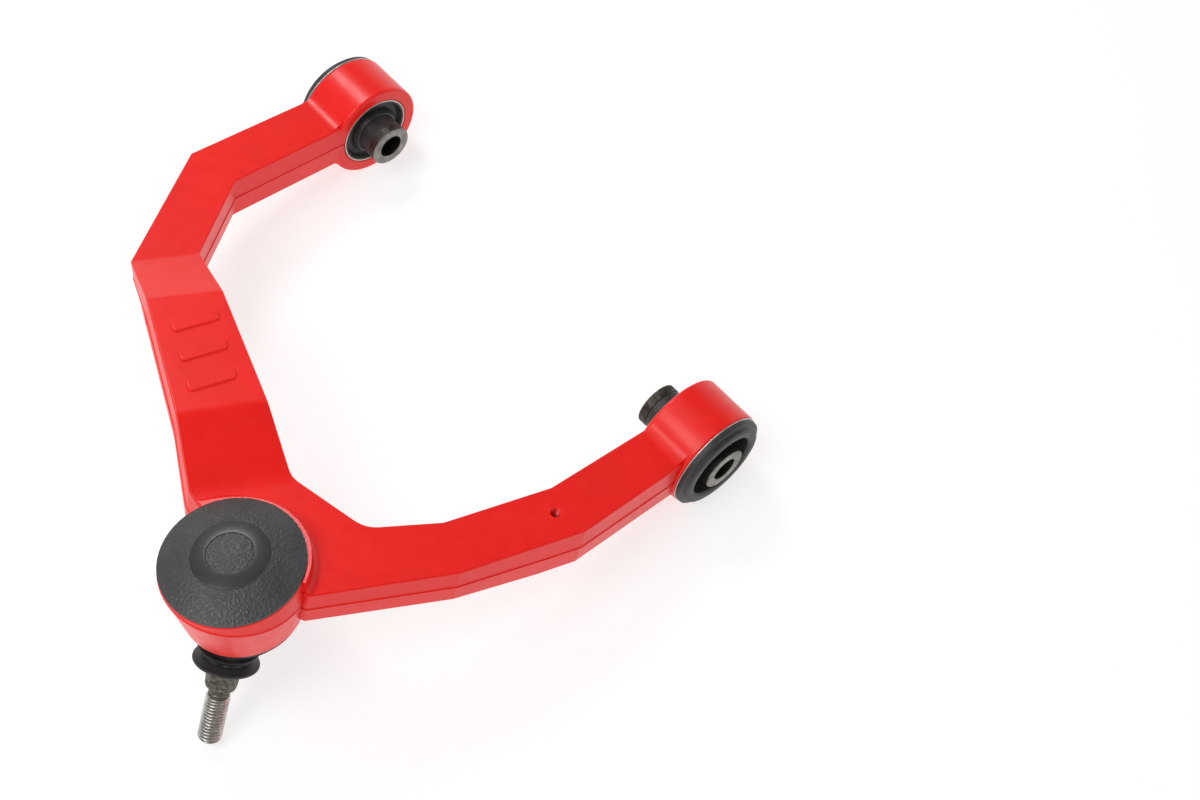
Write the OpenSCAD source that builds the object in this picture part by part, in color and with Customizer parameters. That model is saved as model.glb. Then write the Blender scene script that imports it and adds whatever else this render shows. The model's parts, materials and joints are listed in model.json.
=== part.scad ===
// Forged suspension control arm: two legs on rubber bushings that share one
// pivot axis, and a ball joint at the outer end.
// Frame: X runs along the pivot axis from the short leg's bushing to the long
// leg's, Y points at the ball joint, Z is up. The origin is the middle of the
// short leg's inner sleeve. The arm stands on its bushings and the stud's tip.

/* [Layout] */
// Distance between the two bushing centres
bush_spacing = 281; // [250:1:345]
// Distance from the pivot axis to the ball joint, in the plane of the forging
reach = 246; // [215:1:300]
// Offset of the ball joint from the short leg's bushing, along the pivot axis
boss_x = 61; // [45:1:75]
// Angle at which the forging rises from the bushings to the ball joint
rest_tilt = 12.4; // [9:0.1:15]

/* [Forging] */
// Thickness of the flat parts of the forging
forging_t = 27; // [22:0.5:32]
// Width of the short leg
short_leg_w = 30; // [24:0.5:36]
// Width of the long leg beside its bushing
long_leg_w = 31; // [25:0.5:37]
// Width of the long leg at the top of its arch
arch_w = 38.5; // [32:0.5:46]
// Width of the long leg where the arch meets the boss
arch_root_w = 44.5; // [38:0.5:52]
// Height of the arch's top face above the flat top face
arch_rise = 16.2; // [12:0.1:20]
// Thickness of the long leg at the top of its arch
arch_t = 20; // [17:0.5:24]

/* [Bushings] */
// Outer diameter of the forged bushing eyes
eye_d = 58.6; // [54:0.2:64]
// Width of the forged bushing eyes along the pivot axis
eye_w = 31; // [26:0.5:36]
// Distance from a sleeve's middle to the outer face of its eye
eye_out = 19; // [17:0.5:21]
// Outer diameter of the pressed steel shells
shell_d = 43.4; // [41:0.1:47]
// Wall thickness of the shells
shell_wall = 1.5; // [1:0.1:2]
// Diameter of the shells' outer flanges
flange_d = 58; // [54:0.2:60]
// Length of the inner sleeves
sleeve_len = 53.8; // [52:0.1:60]
// Bore of the inner sleeves, for an M14 bolt
sleeve_bore_d = 14.3; // [12.3:0.1:15]
// Diameter of the sleeves' clamping ends
sleeve_end_d = 25.3; // [24:0.1:27]
// Thickness of the rubber moulded on the sleeves
skin_t = 1.3; // [1:0.1:1.5]
// Height of the rubber bumper outside each flange
bumper_h = 4.6; // [3.5:0.1:5]

/* [Ball joint] */
// Outward tilt of the joint's axis from the forging's normal
tilt_out = 10.5; // [8:0.5:12]
// Sideways tilt of the joint's axis, towards the long leg
tilt_side = 4.5; // [0:0.5:6]
// Diameter of the boss at the forging's parting line
boss_d = 70.4; // [68:0.2:76]
// Height of the cap's rim above the forging's middle plane
cap_h = 17.3; // [16.5:0.1:19]
// Diameter of the dust cap
cap_d = 68.6; // [66:0.2:70]
// Height of the cap's dome above its rim
dome_h = 7; // [5:0.5:9]
// Diameter of the ball
ball_d = 32; // [28:0.5:33]
// Depth of the ball's centre below the cap's rim
ball_depth = 30; // [29.5:0.1:31]
// Running clearance of each sliding fit, on the radius
fit = 0.05; // [0.03:0.01:0.08]

/* [Stud] */
// Distance from the ball's centre to the stud's tip
stud_len = 83.5; // [80:0.5:92]
// Diameter of the stud's neck
neck_d = 14; // [12:0.5:15]
// Largest diameter of the stud's taper
taper_d = 17; // [16:0.2:18]
// Change of the taper's diameter per millimetre of length
taper_rate = 0.045; // [0.03:0.005:0.06]
// Thread diameter, M12
thread_d = 12; // [10:0.5:13]
// Length of the thread
thread_len = 28; // [24:0.5:31]
// Lean of the stud from the joint's axis, as it stands on its tip
lean = 35; // [30:0.5:36]
// Heading of the lean about the joint's axis
heading = 112; // [90:1:130]

/* [Boot] */
// Wall thickness of the rubber boot
boot_wall = 2; // [1.6:0.1:2.4]
// Distance from the ball's centre to the boot's bottom lip
boot_len = 38; // [36:0.5:40]
// Clearance of the soft boot from what it wraps
boot_gap = 0.3; // [0.25:0.05:0.4]

/* [Bracket hole] */
// Drilled diameter of the tapped M6 hole through the short leg
tap_d = 5; // [4:0.1:6]

/* [Hidden] */
$fn = 96;

red_paint = "#e03028";
rubber_black = "#2e2e30";
bare_steel = "#8a8782";
plated_steel = "#b4b2ac";
dark_plastic = "#4a4a4c";
seat_white = "#dcdcd2";

// ---- plan of the forging, in its own plane ----
// A station of a leg is its middle, the direction across it and its width.
function side(station, k) = station[0] + k * station[2] / 2 * [cos(station[1]), sin(station[1])];
function span_x(share) = boss_x + share * (bush_spacing - boss_x);

half_t = forging_t / 2;
eye_in = eye_w - eye_out;
eye_y = 12;
arch_turn = 67;
short_eye = [[eye_in - short_leg_w / 2, eye_y], 0, short_leg_w];
short_low = [[-4, reach * 0.39], -7, short_leg_w];
short_high = [[boss_x * 0.189, reach * 0.644], -24, short_leg_w];
long_eye = [[bush_spacing - eye_in + long_leg_w / 2, eye_y], 0, long_leg_w];
long_corner = [[bush_spacing - 0.7, reach * 0.431], 16, long_leg_w];
arch_foot = [[span_x(0.803), reach * 0.675], arch_turn, (long_leg_w + arch_w) / 2 + 1];
arch_top = [[span_x(0.627), reach * 0.736], arch_turn - 3, arch_w];
arch_end = [[span_x(0.314), reach * 0.843], arch_turn + 1, arch_root_w];
arch_root = [[boss_x + 36.5, reach - 27], arch_turn, arch_root_w + 5];
boss_middle = [boss_x, reach];
boss_foot = [boss_x - 32.5, reach - 15];
web_corner = [boss_x - 17, reach - 60.5];

// ---- side profile of the arch ----
arch_top_z = half_t + arch_rise;
arch_low_z = arch_top_z - arch_t;
function along(station) = station[0] * [-sin(arch_turn), cos(arch_turn)];
// Distance across the arch beyond which its profile holds, short of the arch
// itself and clear of the short leg.
web_across = web_corner * [cos(arch_turn), sin(arch_turn)] - 20;

// ---- bushing, from the sleeve's middle outwards ----
flange_top = eye_out + shell_wall;
bumper_top = flange_top + bumper_h;
shell_in_r = shell_d / 2 - shell_wall;
sleeve_end_len = 5;
sleeve_body_r = sleeve_end_d / 2 - skin_t - 0.35;
skin_r = sleeve_body_r + skin_t;
chamfer = 0.8;
lip_r = flange_d / 2 - 0.6;
recess_r = shell_in_r - 0.6;

// ---- ball joint, along its own axis from the forging's middle plane ----
ball_r = ball_d / 2;
ball_z = cap_h - ball_depth;
rim_t = 1.5;
collar_top = cap_h - rim_t;
seat_wall = 2.5;
seat_depth_share = 0.3875;
spring_h = 2.5;
spring_t = 1;
seat_top = ball_z + ball_r + seat_wall;
plate_z = seat_top + spring_h;
plate_r = 28.8;
plate_t = 3;
ring_z = plate_z + plate_t;
ring_t = 1.6;
ring_r = plate_r + 1.5;
seat_r = ball_r + 4.8;
seat_drop = seat_depth_share * ball_r;
floor_z = ball_z - seat_drop;
snout_z = floor_z - 7.8;
snout_r = seat_r + 3.2;
throat_r = 15.6;
mouth_r = 21.6;
seal_r = 0.8;
skirt_r = plate_r - 2 * seal_r - fit;
cap_wall = 1.8;
dome_r = cap_d / 2 - 0.7;
dome_ball_r = (dome_r * dome_r + dome_h * dome_h) / (2 * dome_h);
dome_z = cap_h + dome_h - dome_ball_r;
ridge_z = 4;
boss_low_z = -15;
boss_low_r = boss_d / 2 - 5.7;
boss_at = [boss_x + 0.8, reach + 1.8];
apron_z = snout_z + 4.2;
apron_h = 14.5;
apron_r = boss_low_r + 0.1;

// ---- stud and boot, from the ball's centre outwards ----
neck_r = neck_d / 2;
neck_end = 26;
shoulder = 29;
taper_end = stud_len - thread_len - 3;
thread_r = thread_d / 2;
function taper_r(t) = taper_d / 2 - taper_rate / 2 * (t - shoulder);

snout_end = ball_z - snout_z;
cuff_r = snout_r + boot_gap + boot_wall;
cuff_top = snout_end - 5.2;
waist_r = taper_d / 2 + boot_gap + boot_wall;
band_t = boot_len - 4.2;
hem_r = waist_r + 6;
groove_r = cuff_r + 1.8;
groove_z = ball_z - cuff_top + 0.3;

// ---- taper under the short leg: where it starts, its slopes across and along ----
taper_from = [-13, 0.488 * reach];
taper_slope = [0.285, 0.155];

// ---- relief under the arch's foot, on the outer side ----
relief_lean = 16.5;
relief_length = 60;
foot_across = arch_foot[0] * [cos(arch_turn), sin(arch_turn)] + arch_foot[2] / 2;

// ---- places ----
module forging_plane() {
    rotate([rest_tilt, 0, 0]) children();
}

module joint_axis() {
    forging_plane()
        translate([boss_x, reach, 0])
            rotate([-tilt_out, tilt_side, 0])
                children();
}

// The ball's centre, with X turned to the stud's heading.
module ball_centre() {
    joint_axis()
        translate([0, 0, ball_z])
            rotate([0, 0, heading])
                children();
}

// +Z runs from the ball's centre down the stud.
module stud_axis() {
    ball_centre()
        rotate([0, 180 - lean, 0])
            children();
}

// +Z runs outwards along the pivot axis, from the sleeve's middle.
module at_short() {
    rotate([0, -90, 0]) children();
}

module at_long() {
    translate([bush_spacing, 0, 0])
        rotate([0, 90, 0])
            children();
}

// ---- forging ----
short_side = [short_eye, short_low, short_high];
long_side = [arch_root, arch_end, arch_top, arch_foot, long_corner, long_eye];

// Both legs and the web between them, as high as the arch's top.
module legs_blank() {
    translate([0, 0, -half_t])
        linear_extrude(forging_t + arch_rise)
            polygon(concat(
                [for (s = short_side) side(s, 1)],
                [web_corner],
                [for (s = long_side) side(s, -1)],
                [for (i = [len(long_side) - 1 : -1 : 0]) side(long_side[i], 1)],
                [boss_middle, boss_foot],
                [for (i = [len(short_side) - 1 : -1 : 0]) side(short_side[i], -1)]
            ));
}

// Y runs along the arch and X across it.
module arch_frame() {
    rotate([0, 0, arch_turn]) children();
}

// A side profile that holds from web_across outwards.
module profile_cut(profile) {
    arch_frame()
        translate([web_across, 0, 0])
            rotate([90, 0, 90])
                linear_extrude(2 * reach) polygon(profile);
}

module legs() {
    far = 2 * bush_spacing;
    sky = forging_t + arch_rise;
    difference() {
        legs_blank();
        arch_frame()
            translate([-far, -far, half_t])
                cube([far + web_across + 1, 2 * far, sky]);
        profile_cut([
            [-far, half_t], [along(arch_foot), half_t],
            [along(arch_top), arch_top_z], [along(arch_end), arch_top_z],
            [along(arch_root), half_t], [far, half_t], [far, sky], [-far, sky]
        ]);
        profile_cut([
            [along(arch_foot), -half_t], [along(arch_top), arch_low_z],
            [along(arch_end), arch_low_z], [along(arch_root), -half_t],
            [along(arch_root), -sky], [along(arch_foot), -sky]
        ]);
        foot_relief();
        short_leg_taper();
    }
}

// Towards the boss the short leg's underside rises along its outer side.
module short_leg_taper() {
    far = 2 * bush_spacing;
    translate([taper_from[0], taper_from[1], -half_t])
        rotate(a = atan(norm(taper_slope)), v = [taper_slope[1], taper_slope[0], 0])
            translate([-far, -far, -forging_t])
                cube([2 * far, 2 * far, forging_t]);
}

// The outer lower corner under the arch's foot is drawn in.
module foot_relief() {
    arch_frame()
        translate([foot_across, along(arch_foot), half_t])
            rotate([0, relief_lean, 0])
                translate([0, -relief_length / 2, -2 * forging_t])
                    cube([forging_t, 1.3 * relief_length, 2 * forging_t]);
}

module eye() {
    translate([0, 0, -eye_in]) cylinder(h = eye_w, d = eye_d);
}

module eye_bore() {
    translate([0, 0, -eye_in - 1]) cylinder(h = eye_w + 2, d = shell_d);
}

module boss() {
    intersection() {
        union() {
            forging_plane()
                translate([boss_at[0], boss_at[1], ridge_z])
                    cylinder(h = 25, d = boss_d);
            forging_plane()
                translate([boss_at[0], boss_at[1], boss_low_z])
                    cylinder(h = ridge_z - boss_low_z, r1 = boss_low_r, r2 = boss_d / 2);
            joint_axis()
                translate([0, 0, snout_z])
                    cylinder(h = 20, r = snout_r + 0.5);
            joint_axis()
                translate([0, 0, apron_z])
                    cylinder(h = apron_h, r1 = apron_r, r2 = apron_r + 2.2);
        }
        joint_axis()
            translate([0, 0, snout_z])
                cylinder(h = collar_top - snout_z, r = boss_d);
    }
}

// Everything that is machined out of the boss.
module boss_bores() {
    joint_axis()
        rotate_extrude()
            polygon([
                [0, snout_z - 1], [mouth_r, snout_z - 1], [mouth_r, snout_z],
                [throat_r, floor_z], [seat_r + fit, floor_z],
                [seat_r + fit, plate_z], [plate_r + fit, plate_z],
                [plate_r + fit, ring_z], [ring_r + fit, ring_z],
                [ring_r + fit, ring_z + ring_t], [plate_r + fit, ring_z + ring_t],
                [plate_r + fit, collar_top + 20], [0, collar_top + 20]
            ]);
    joint_axis()
        rotate_extrude()
            polygon([
                [snout_r, snout_z - 1], [groove_r, snout_z - 1],
                [groove_r, groove_z], [snout_r, groove_z]
            ]);
}

module tapped_hole() {
    countersink = 0.8;
    forging_plane()
        translate([short_low[0][0] + 2, reach * 0.417, 0]) {
            cylinder(h = forging_t + 2, d = tap_d, center = true);
            for (k = [0, 1])
                mirror([0, 0, k])
                    translate([0, 0, half_t - countersink])
                        cylinder(h = 2 * countersink, d1 = tap_d, d2 = tap_d + 4 * countersink);
        }
}

module arm_forging() {
    color(red_paint)
        difference() {
            union() {
                forging_plane() legs();
                boss();
                at_short() eye();
                at_long() eye();
            }
            at_short() eye_bore();
            at_long() eye_bore();
            boss_bores();
            tapped_hole();
        }
}

// ---- bushings ----
module shell() {
    color(plated_steel)
        rotate_extrude()
            polygon([
                [shell_in_r, -eye_in], [shell_d / 2, -eye_in],
                [shell_d / 2, eye_out], [flange_d / 2, eye_out],
                [flange_d / 2, flange_top], [shell_in_r, flange_top]
            ]);
}

// Rubber between shell and sleeve, with the bumper outside the flange.
module rubber() {
    bore_r = skin_r + fit;
    color(rubber_black)
        rotate_extrude()
            polygon([
                [bore_r, -eye_in - 1.5], [bore_r + 1.5, -eye_in - 1],
                [bore_r + 2, -eye_in + 2.5], [shell_in_r, -eye_in + 2.5],
                [shell_in_r, flange_top], [lip_r, flange_top],
                [lip_r, flange_top + bumper_h * 0.4],
                [lip_r - 1, flange_top + bumper_h * 0.55],
                [lip_r - 2.4, flange_top + bumper_h * 0.6],
                [lip_r - 3.2, bumper_top - 0.8], [lip_r - 4.2, bumper_top],
                [recess_r + 1, bumper_top], [recess_r, bumper_top - 1],
                [recess_r - 1, flange_top - 10], [bore_r + 2, flange_top - 11],
                [bore_r + 0.8, flange_top - 9], [bore_r, flange_top - 4]
            ]);
}

module sleeve() {
    half = sleeve_len / 2;
    end_r = sleeve_end_d / 2;
    color(bare_steel)
        rotate_extrude()
            polygon([
                [sleeve_bore_d / 2, -half], [end_r - chamfer, -half],
                [end_r, chamfer - half], [end_r, sleeve_end_len - half],
                [sleeve_body_r, sleeve_end_len - half],
                [sleeve_body_r, half - sleeve_end_len],
                [end_r, half - sleeve_end_len], [end_r, half - chamfer],
                [end_r - chamfer, half], [sleeve_bore_d / 2, half]
            ]);
}

module sleeve_skin() {
    half = sleeve_len / 2 - sleeve_end_len;
    color(rubber_black)
        rotate_extrude()
            polygon([
                [sleeve_body_r, -half], [skin_r, -half],
                [skin_r, half], [sleeve_body_r, half]
            ]);
}

module short_shell() { at_short() shell(); }
module short_rubber() { at_short() rubber(); }
module short_sleeve() { at_short() sleeve(); }
module short_sleeve_skin() { at_short() sleeve_skin(); }
module long_shell() { at_long() shell(); }
module long_rubber() { at_long() rubber(); }
module long_sleeve() { at_long() sleeve(); }
module long_sleeve_skin() { at_long() sleeve_skin(); }

// ---- ball joint ----
module dust_cap() {
    lap = 2.8;
    color(dark_plastic)
        joint_axis()
            difference() {
                union() {
                    translate([0, 0, collar_top]) cylinder(h = rim_t, d = cap_d);
                    translate([0, 0, collar_top - lap]) cylinder(h = lap + 1, r = skirt_r);
                    intersection() {
                        translate([0, 0, dome_z]) sphere(r = dome_ball_r);
                        translate([0, 0, cap_h - 0.5]) cylinder(h = dome_h + 2, r = dome_r);
                    }
                }
                intersection() {
                    translate([0, 0, dome_z - cap_wall]) sphere(r = dome_ball_r);
                    translate([0, 0, collar_top - lap - 1])
                        cylinder(h = 3 * dome_h, r = skirt_r - cap_wall);
                }
            }
}

module cap_seal() {
    color(rubber_black)
        joint_axis()
            translate([0, 0, collar_top - seal_r - 0.3])
                rotate_extrude()
                    translate([skirt_r + fit / 2 + seal_r, 0])
                        circle(r = seal_r, $fn = 32);
}

// Snap ring with two ears for pliers beside its gap.
module retaining_ring() {
    ring_w = 3.6;
    ring_gap = 8;
    ear_r = 2.6;
    ear_hole_r = 1.1;
    ear_at = [ring_r - ring_w - 0.6, ring_gap / 2 + ear_r];
    color(bare_steel)
        joint_axis()
            translate([0, 0, ring_z])
                difference() {
                    union() {
                        difference() {
                            cylinder(h = ring_t, r = ring_r);
                            translate([0, 0, -1])
                                cylinder(h = ring_t + 2, r = ring_r - ring_w);
                            translate([0, -ring_gap / 2, -1])
                                cube([ring_r + 1, ring_gap, ring_t + 2]);
                        }
                        for (k = [-1, 1])
                            translate([ear_at[0], k * ear_at[1], 0])
                                cylinder(h = ring_t, r = ear_r);
                    }
                    for (k = [-1, 1])
                        translate([ear_at[0], k * ear_at[1], -1])
                            cylinder(h = ring_t + 2, r = ear_hole_r);
                }
}

module cover_plate() {
    color(plated_steel)
        joint_axis()
            translate([0, 0, plate_z])
                cylinder(h = plate_t, r = plate_r);
}

// Cone washer that presses the upper seat on the ball.
module preload_spring() {
    inner_r = 12;
    outer_r = seat_r - 1;
    foot_z = seat_top + fit;
    color(bare_steel)
        joint_axis()
            rotate_extrude()
                polygon([
                    [inner_r, plate_z - spring_t], [outer_r, foot_z],
                    [outer_r, foot_z + spring_t], [inner_r, plate_z]
                ]);
}

module upper_seat() {
    grease_hole_r = 3;
    color(seat_white)
        joint_axis()
            difference() {
                translate([0, 0, ball_z + fit])
                    cylinder(h = seat_top - ball_z - fit, r = seat_r);
                translate([0, 0, ball_z]) sphere(r = ball_r + fit);
                translate([0, 0, seat_top - 2 * seat_wall])
                    cylinder(h = 3 * seat_wall, r = grease_hole_r);
            }
}

module lower_seat() {
    color(seat_white)
        joint_axis()
            difference() {
                translate([0, 0, floor_z]) cylinder(h = seat_drop, r = seat_r);
                translate([0, 0, ball_z]) sphere(r = ball_r + fit);
            }
}

module ball_stud() {
    relief = 1.2;
    tip_chamfer = 2;
    color(bare_steel)
        stud_axis()
            union() {
                sphere(r = ball_r);
                rotate_extrude()
                    polygon([
                        [0, 0], [neck_r, 0], [neck_r, neck_end],
                        [taper_r(shoulder), shoulder], [taper_r(taper_end), taper_end],
                        [thread_r - relief, taper_end + relief],
                        [thread_r - relief, stud_len - thread_len - 1],
                        [thread_r, stud_len - thread_len],
                        [thread_r, stud_len - tip_chamfer],
                        [thread_r - tip_chamfer, stud_len - 0.4],
                        [thread_r - 2 * tip_chamfer, stud_len], [0, stud_len]
                    ]);
            }
}

// ---- boot ----
// The boot is a body of revolution whose rings lean more and more, from the
// joint's axis at the cuff to the stud's axis at the waist.
boot_outline = [
    [cuff_r, cuff_top], [cuff_r, snout_end],
    [cuff_r - 0.8, snout_end + 1], [cuff_r - 1.2, snout_end + 3.6],
    [cuff_r - 3.8, snout_end + 5.2], [cuff_r - 3.6, snout_end + 7.6],
    [cuff_r - 7.8, snout_end + 10.4],
    [waist_r + 2, boot_len - 8.5], [waist_r + 1, boot_len - 7],
    [waist_r, boot_len - 5.8], [waist_r, boot_len - 2.6],
    [waist_r + 2.4, boot_len - 1.6], [hem_r, boot_len],
    [hem_r - 0.5, boot_len + 0.8], [waist_r - boot_wall, boot_len - 1],
    [waist_r - boot_wall, boot_len - 7.4],
    [waist_r, boot_len - 9], [cuff_r - 9.6, snout_end + 9.4],
    [cuff_r - 5.8, snout_end + 7], [cuff_r - 6, snout_end + 4.8],
    [cuff_r - 3, snout_end + 2.8],
    [cuff_r - boot_wall, snout_end + 0.4], [cuff_r - boot_wall, cuff_top]
];
function lean_at(t) = lean * pow(max(0, min(1, (t - snout_end) / (boot_len - 8 - snout_end))), 1.5);
function boot_point(r, t, turn) =
    let (a = lean_at(t), x = r * cos(turn))
        [x * cos(a) + t * sin(a), r * sin(turn), x * sin(a) - t * cos(a)];

module dust_boot() {
    sides = 48;
    rings = len(boot_outline);
    points = [for (p = boot_outline, i = [0 : sides - 1]) boot_point(p[0], p[1], i * 360 / sides)];
    faces = [
        for (j = [0 : rings - 1], i = [0 : sides - 1])
            let (k = (j + 1) % rings, n = (i + 1) % sides)
                each [
                    [j * sides + i, j * sides + n, k * sides + n],
                    [j * sides + i, k * sides + n, k * sides + i]
                ]
    ];
    color(rubber_black)
        ball_centre()
            polyhedron(points, faces);
}

module boot_upper_ring() {
    color(bare_steel)
        ball_centre()
            translate([0, 0, -snout_end + 1.2])
                rotate_extrude()
                    translate([cuff_r + boot_gap, 0])
                        square([1.2, 2.4]);
}

module boot_lower_ring() {
    color(bare_steel)
        stud_axis()
            translate([0, 0, band_t - 1.1])
                rotate_extrude()
                    translate([waist_r + boot_gap, 0])
                        square([1.2, 2]);
}

arm_forging();
short_shell();
short_rubber();
short_sleeve();
short_sleeve_skin();
long_shell();
long_rubber();
long_sleeve();
long_sleeve_skin();
dust_cap();
cap_seal();
retaining_ring();
cover_plate();
preload_spring();
upper_seat();
lower_seat();
ball_stud();
dust_boot();
boot_upper_ring();
boot_lower_ring();
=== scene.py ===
import bpy
import bmesh
import json
import math
from mathutils import Matrix, Vector


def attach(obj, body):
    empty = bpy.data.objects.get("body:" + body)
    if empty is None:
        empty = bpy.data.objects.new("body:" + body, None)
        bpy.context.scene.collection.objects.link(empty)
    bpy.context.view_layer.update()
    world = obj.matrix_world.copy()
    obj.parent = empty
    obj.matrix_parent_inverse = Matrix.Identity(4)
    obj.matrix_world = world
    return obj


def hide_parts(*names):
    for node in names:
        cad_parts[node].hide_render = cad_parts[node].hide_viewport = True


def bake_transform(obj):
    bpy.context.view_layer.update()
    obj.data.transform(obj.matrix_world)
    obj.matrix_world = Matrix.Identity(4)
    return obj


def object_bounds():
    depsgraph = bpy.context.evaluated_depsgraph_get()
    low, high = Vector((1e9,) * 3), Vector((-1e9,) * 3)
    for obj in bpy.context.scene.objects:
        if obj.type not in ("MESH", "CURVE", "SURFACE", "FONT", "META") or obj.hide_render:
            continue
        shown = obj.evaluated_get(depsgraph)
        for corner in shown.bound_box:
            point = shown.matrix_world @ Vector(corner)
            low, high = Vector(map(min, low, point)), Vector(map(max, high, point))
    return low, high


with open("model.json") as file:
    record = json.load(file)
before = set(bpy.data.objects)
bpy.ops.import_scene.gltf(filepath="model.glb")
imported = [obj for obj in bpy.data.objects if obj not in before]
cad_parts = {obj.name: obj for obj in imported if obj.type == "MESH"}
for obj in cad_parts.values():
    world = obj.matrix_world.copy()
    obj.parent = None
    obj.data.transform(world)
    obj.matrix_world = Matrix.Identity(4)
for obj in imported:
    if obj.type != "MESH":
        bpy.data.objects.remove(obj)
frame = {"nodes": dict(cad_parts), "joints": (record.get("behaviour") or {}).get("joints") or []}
cad_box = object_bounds()

# ---------------------------------------------------------------- sizes, mm and degrees
MM = 0.001
REST_TILT = 12.4            # the forging's rise from the pivot to the ball joint
REACH = 246.0               # pivot axis to ball joint, in the forging's plane
HALF_T = 13.5               # half the thickness of the flat forging
ARCH_RISE = 16.2            # the arch's top above the flat top
ARCH_T = 20.0               # thickness at the top of the arch
ARCH_TURN = 67.0            # direction of the arch's creases in the plan
CREASE_HALF = (1.6, 1.6, 2.4, 6.0)  # half the width over which each of its creases is rounded
DRAFT = 0.5                 # how far the walls lean out by the parting line
FLASH = 0.5                 # how far the trimmed parting line stands proud
EDGE_R = 0.9                # radius of the forging's edges
INSET = FLASH + DRAFT + EDGE_R  # from the parting line in to the flat of a leg
COVE_R = 9.0                # radius of the sweep between the legs and the boss
FOOT_RELIEF = 4.5           # how far the arch's foot is drawn in at the bottom outer corner
RIDGE_Z = 7.0               # height of the boss's own parting ridge over the forging's plane
COLLAR_TOP = 15.8           # height of the boss's upper face, along the joint's axis
SNOUT_Z, SNOUT_R = -26.7, 24.0  # height of the boss's lower face, and its radius
SEAT_R = 20.85              # the bore in the boss that holds the ball's seats
EYE_R = 29.3                # an eye's radius
EYE_IN, EYE_OUT = 12.0, 19.0  # from an eye's middle to its inner and outer face
SHELL_R, SHELL_WALL = 21.7, 1.5  # a bushing's pressed-in shell and its wall
FLANGE_R, FLANGE_TOP = 29.0, EYE_OUT + SHELL_WALL  # the shell's flange and its outer face
SLEEVE_HALF, SLEEVE_BORE_R = 26.9, 7.15  # half the sleeve's length, and the bolt's bore
SLEEVE_END, SLEEVE_END_R = 5.0, 12.65  # the sleeve's thicker clamping ends
SKIN_R = 12.3               # the rubber skin on the sleeve
BALL_DEPTH = -12.7          # ball centre on the joint's axis, from the forging's plane
BALL_R = 15.9               # a hair under the 16 mm seats, so that the facets never meet
CAP_RIM, CAP_R, DOME_H = 17.3, 34.3, 7.0  # the dust cap's rim height, radius and dome
STUD_LEN = 83.5             # ball centre to the stud's tip
THREAD_LEN, THREAD_R, PITCH = 28.0, 6.0, 1.75  # the stud's M12 thread

joints = {j["name"]: j for j in frame["joints"]}


def metres(place):
    """A place in mm as a transform that also turns mm to metres."""
    return Matrix.Scale(MM, 4) @ place


def axis_frame(origin, z, towards):
    """A place in mm whose Z runs along z and whose X leans towards a direction."""
    z = Vector(z).normalized()
    x = (Vector(towards) - Vector(towards).dot(z) * z).normalized()
    turned = Matrix((x, z.cross(x), z)).transposed().to_4x4()
    return Matrix.Translation(Vector(origin) / MM) @ turned


ball_m = Vector(joints["stud_lean"]["pos_m"])
joint_dir = Vector(joints["stud_heading"]["axis"])
stud_dir = Vector(joints["stud_spin"]["axis"])
spacing = joints["long_bushing_twist"]["pos_m"][0] / MM

# Places in mm. Z stands square to the forging in PLANE, RIDGE, COVE and HOLE. It is the joint's
# axis in BALL and JOINT and the stud's in STUD, and it points out of the arm at a bushing.
PLANE = Matrix.Rotation(math.radians(REST_TILT), 4, "X")
BALL = axis_frame(ball_m, joint_dir, stud_dir)
JOINT = BALL @ Matrix.Translation((0, 0, -BALL_DEPTH))
STUD = axis_frame(ball_m, stud_dir, joint_dir)
AT_SHORT = Matrix.Rotation(math.radians(-90), 4, "Y")
AT_LONG = Matrix.Translation((spacing, 0, 0)) @ Matrix.Rotation(math.radians(90), 4, "Y")
boss = PLANE.inverted() @ JOINT.translation
RIDGE = PLANE @ Matrix.Translation((boss.x + 0.6, boss.y + 1.3, RIDGE_Z))
COVE = PLANE @ Matrix.Translation((boss.x + 1.1, boss.y + 2.6, 0))
HOLE = PLANE @ Matrix.Translation((-2, REACH * 0.417, 0))


# ---------------------------------------------------------------- materials
def linear(code):
    """sRGB hex to linear RGBA."""
    parts = [int(code[i:i + 2], 16) / 255 for i in (1, 3, 5)]
    return [p / 12.92 if p <= 0.04045 else ((p + 0.055) / 1.055) ** 2.4 for p in parts] + [1.0]


def add(tree, kind, sockets=None, stops=(), **settings):
    """Adds a node, sets its attributes and its ramp's two stops, and fills its inputs or links
    them to a socket or to another node's first output."""
    node = tree.nodes.new(kind)
    for name, value in settings.items():
        setattr(node, name, value)
    for k, (at, colour) in enumerate(stops):
        node.color_ramp.elements[k].position = at
        node.color_ramp.elements[k].color = colour
    for name, value in (sockets or {}).items():
        if isinstance(value, bpy.types.Node):
            value = value.outputs[0]
        if isinstance(value, bpy.types.NodeSocket):
            tree.links.new(value, node.inputs[name])
        else:
            node.inputs[name].default_value = value
    return node


def per_mm(size):
    """A texture scale whose features are about size mm across, in metres."""
    return 1 / (size * MM)


def grey(value):
    """A plain level, such as a roughness, in the form that a ramp takes."""
    return [value, value, value, 1.0]


def start(name):
    """An empty material, its node tree and the coordinates that its patterns lie on."""
    material = bpy.data.materials.new(name)
    material.use_nodes = True
    tree = material.node_tree
    tree.nodes.clear()
    place = add(tree, "ShaderNodeTexCoord").outputs["Object"]
    return material, tree, place


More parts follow.
